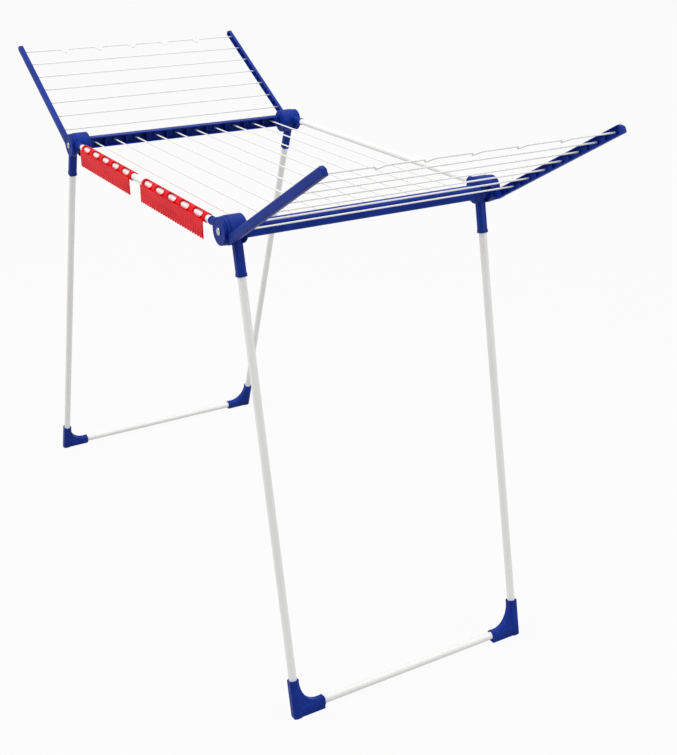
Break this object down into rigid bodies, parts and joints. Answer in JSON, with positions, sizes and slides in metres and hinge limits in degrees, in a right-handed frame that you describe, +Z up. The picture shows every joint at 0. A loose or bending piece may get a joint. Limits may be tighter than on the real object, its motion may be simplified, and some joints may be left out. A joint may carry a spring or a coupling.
{
  "type": "clothes drying rack",
  "caption": "Free-standing winged clothes drying rack with nesting folding leg frames, folding wings of white steel drying lines, and clip-on combs for small items.",
  "frame": {"origin": "on the floor under the middle of the whole rack, at the bottom centre of its box", "axes": "+X along the middle section's lines from the wider leg frame's end to the narrower one's, +Y from the comb side to the far side, +Z up"},
  "size_m": [1.5818, 0.613, 1.1407],
  "materials": {
    "blue_plastic": "satin moulded polypropylene",
    "red_plastic": "satin moulded polypropylene",
    "white_steel": "white powder coat on steel",
    "bright_steel": "bright zinc-plated rivet steel"
  },
  "bodies": {
    "frame": {"end_bar_left": "blue_plastic", "end_bar_right": "blue_plastic", "hinge_pin_left_far": "bright_steel", "hinge_pin_left_near": "bright_steel", "hinge_pin_right_far": "bright_steel", "hinge_pin_right_near": "bright_steel", "hub_left_far": "blue_plastic", "hub_left_near": "blue_plastic", "hub_right_far": "blue_plastic", "hub_right_near": "blue_plastic", "main_line_01": "white_steel", "main_line_02": "white_steel", "main_line_03": "white_steel", "main_line_04": "white_steel", "main_line_05": "white_steel", "main_line_06": "white_steel", "main_line_07": "white_steel", "main_line_08": "white_steel", "main_line_09": "white_steel", "main_line_10": "white_steel", "side_tube_far": "white_steel", "side_tube_near": "white_steel"},
    "left_wing": {"wing_arm_left_far": "blue_plastic", "wing_arm_left_near": "blue_plastic", "wing_line_left_1": "white_steel", "wing_line_left_2": "white_steel", "wing_line_left_3": "white_steel", "wing_line_left_4": "white_steel", "wing_line_left_5": "white_steel", "wing_line_left_6": "white_steel", "wing_line_left_7": "white_steel"},
    "right_wing": {"wing_arm_right_far": "blue_plastic", "wing_arm_right_near": "blue_plastic", "wing_line_right_1": "white_steel", "wing_line_right_2": "white_steel", "wing_line_right_3": "white_steel", "wing_line_right_4": "white_steel", "wing_line_right_5": "white_steel", "wing_line_right_6": "white_steel", "wing_line_right_7": "white_steel"},
    "left_legs": {"crossbar_left": "white_steel", "foot_left_far": "blue_plastic", "foot_left_near": "blue_plastic", "leg_socket_left_far": "blue_plastic", "leg_socket_left_near": "blue_plastic", "leg_tube_left_far": "white_steel", "leg_tube_left_near": "white_steel"},
    "right_legs": {"crossbar_right": "white_steel", "foot_right_far": "blue_plastic", "foot_right_near": "blue_plastic", "leg_socket_right_far": "blue_plastic", "leg_socket_right_near": "blue_plastic", "leg_tube_right_far": "white_steel", "leg_tube_right_near": "white_steel"},
    "comb_1": {"comb_1": "red_plastic"},
    "comb_2": {"comb_2": "red_plastic"}
  },
  "joints": [
    {"name": "left_wing_fold", "type": "hinge", "parent": "frame", "child": "left_wing", "pos_m": [-0.42, 0, 0.953], "axis": [0, 1, 0], "range_deg": [0, 142]},
    {"name": "right_wing_fold", "type": "hinge", "parent": "frame", "child": "right_wing", "pos_m": [0.42, 0, 0.953], "axis": [0, -1, 0], "range_deg": [0, 142]},
    {"name": "left_legs_fold", "type": "hinge", "parent": "frame", "child": "left_legs", "pos_m": [-0.42, 0, 0.953], "axis": [0, -1, 0], "range_deg": [0, 100]},
    {"name": "right_legs_fold", "type": "hinge", "parent": "frame", "child": "right_legs", "pos_m": [0.42, 0, 0.953], "axis": [0, 1, 0], "range_deg": [0, 98.5]},
    {"name": "comb_1_slide", "type": "slide", "parent": "frame", "child": "comb_1", "axis": [1, 0, 0], "range_m": [-0.012, 0.028]},
    {"name": "comb_2_slide", "type": "slide", "parent": "frame", "child": "comb_2", "axis": [1, 0, 0], "range_m": [-0.028, 0.01]}
  ],
  "couplings": [
    {"joint": "right_legs_fold", "follows": "left_legs_fold", "ratio": 0.985}
  ]
}
